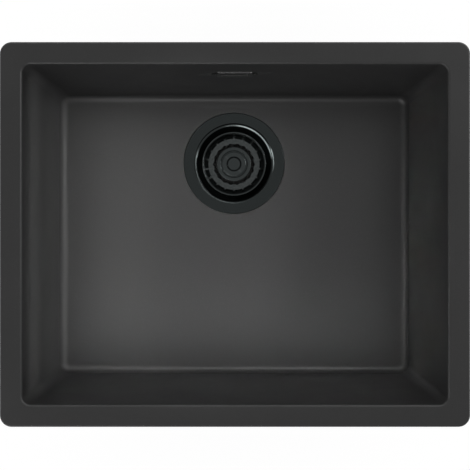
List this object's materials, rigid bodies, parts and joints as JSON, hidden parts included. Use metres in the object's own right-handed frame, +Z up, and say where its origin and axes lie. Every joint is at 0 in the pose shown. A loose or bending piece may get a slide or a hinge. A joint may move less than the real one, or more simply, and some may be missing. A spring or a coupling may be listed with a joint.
{
  "type": "inset kitchen sink",
  "caption": "Rectangular granite composite inset sink with one bowl, a basket strainer waste, a slot overflow and worktop clamps.",
  "frame": {"origin": "centre of the worktop cut-out on the worktop's top face, which is the underside of the rim seal", "axes": "+X to the right along the longer side, +Y to the rear wall with the overflow, +Z up"},
  "size_m": [0.55, 0.45, 0.2925],
  "materials": {
    "granite": "matt black stone-resin composite with a fine grain",
    "foam": "soft closed-cell strip",
    "black_steel": "glossy black plated stainless steel",
    "rubber": "moulded rubber",
    "plastic": "moulded black polypropylene",
    "hose_plastic": "grey ribbed polyethylene",
    "brass": "turned brass",
    "stainless": "bright stainless steel",
    "zinc_steel": "zinc plated pressed steel"
  },
  "bodies": {
    "sink": {"bowl": "granite", "rim_seal": "foam", "strainer_well": "black_steel", "flange_gasket": "rubber", "floor_washer": "rubber", "waste_body": "plastic", "clamp_nut": "brass", "clamp_bolt": "stainless", "overflow_cover": "plastic", "overflow_gasket": "rubber", "overflow_housing": "plastic", "overflow_hose": "hose_plastic", "hose_nut_top": "plastic", "hose_nut_bottom": "plastic", "hose_washers": "rubber", "wall_inserts": "brass", "clamp_brackets": "zinc_steel", "bracket_screws": "stainless"},
    "basket": {"basket_cup": "black_steel", "basket_knob": "black_steel", "basket_stud": "stainless", "basket_stopper": "rubber", "basket_nut": "stainless"},
    "clamp_1_screw": {"clamp_screw_1": "zinc_steel"},
    "clamp_1_claw": {"claw_1": "zinc_steel"},
    "clamp_2_screw": {"clamp_screw_2": "zinc_steel"},
    "clamp_2_claw": {"claw_2": "zinc_steel"},
    "clamp_3_screw": {"clamp_screw_3": "zinc_steel"},
    "clamp_3_claw": {"claw_3": "zinc_steel"},
    "clamp_4_screw": {"clamp_screw_4": "zinc_steel"},
    "clamp_4_claw": {"claw_4": "zinc_steel"},
    "clamp_5_screw": {"clamp_screw_5": "zinc_steel"},
    "clamp_5_claw": {"claw_5": "zinc_steel"},
    "clamp_6_screw": {"clamp_screw_6": "zinc_steel"},
    "clamp_6_claw": {"claw_6": "zinc_steel"}
  },
  "joints": [
    {"name": "basket_lift", "type": "slide", "parent": "sink", "child": "basket", "axis": [0, 0, 1], "range_m": [0, 0.26]},
    {"name": "clamp_1_travel", "type": "slide", "parent": "sink", "child": "clamp_1_screw", "axis": [0, 0, 1], "range_m": [0, 0.016]},
    {"name": "clamp_1_swing", "type": "hinge", "parent": "clamp_1_screw", "child": "clamp_1_claw", "pos_m": [0.26053, 0, -0.048], "axis": [0, 0, 1], "range_deg": [0, 90]},
    {"name": "clamp_2_travel", "type": "slide", "parent": "sink", "child": "clamp_2_screw", "axis": [0, 0, 1], "range_m": [0, 0.016]},
    {"name": "clamp_2_swing", "type": "hinge", "parent": "clamp_2_screw", "child": "clamp_2_claw", "pos_m": [0.15, 0.21153, -0.048], "axis": [0, 0, 1], "range_deg": [0, 90]},
    {"name": "clamp_3_travel", "type": "slide", "parent": "sink", "child": "clamp_3_screw", "axis": [0, 0, 1], "range_m": [0, 0.016]},
    {"name": "clamp_3_swing", "type": "hinge", "parent": "clamp_3_screw", "child": "clamp_3_claw", "pos_m": [-0.15, 0.21153, -0.048], "axis": [0, 0, 1], "range_deg": [0, 90]},
    {"name": "clamp_4_travel", "type": "slide", "parent": "sink", "child": "clamp_4_screw", "axis": [0, 0, 1], "range_m": [0, 0.016]},
    {"name": "clamp_4_swing", "type": "hinge", "parent": "clamp_4_screw", "child": "clamp_4_claw", "pos_m": [-0.26053, 0, -0.048], "axis": [0, 0, 1], "range_deg": [0, 90]},
    {"name": "clamp_5_travel", "type": "slide", "parent": "sink", "child": "clamp_5_screw", "axis": [0, 0, 1], "range_m": [0, 0.016]},
    {"name": "clamp_5_swing", "type": "hinge", "parent": "clamp_5_screw", "child": "clamp_5_claw", "pos_m": [-0.15, -0.21153, -0.048], "axis": [0, 0, 1], "range_deg": [0, 90]},
    {"name": "clamp_6_travel", "type": "slide", "parent": "sink", "child": "clamp_6_screw", "axis": [0, 0, 1], "range_m": [0, 0.016]},
    {"name": "clamp_6_swing", "type": "hinge", "parent": "clamp_6_screw", "child": "clamp_6_claw", "pos_m": [0.15, -0.21153, -0.048], "axis": [0, 0, 1], "range_deg": [0, 90]}
  ]
}
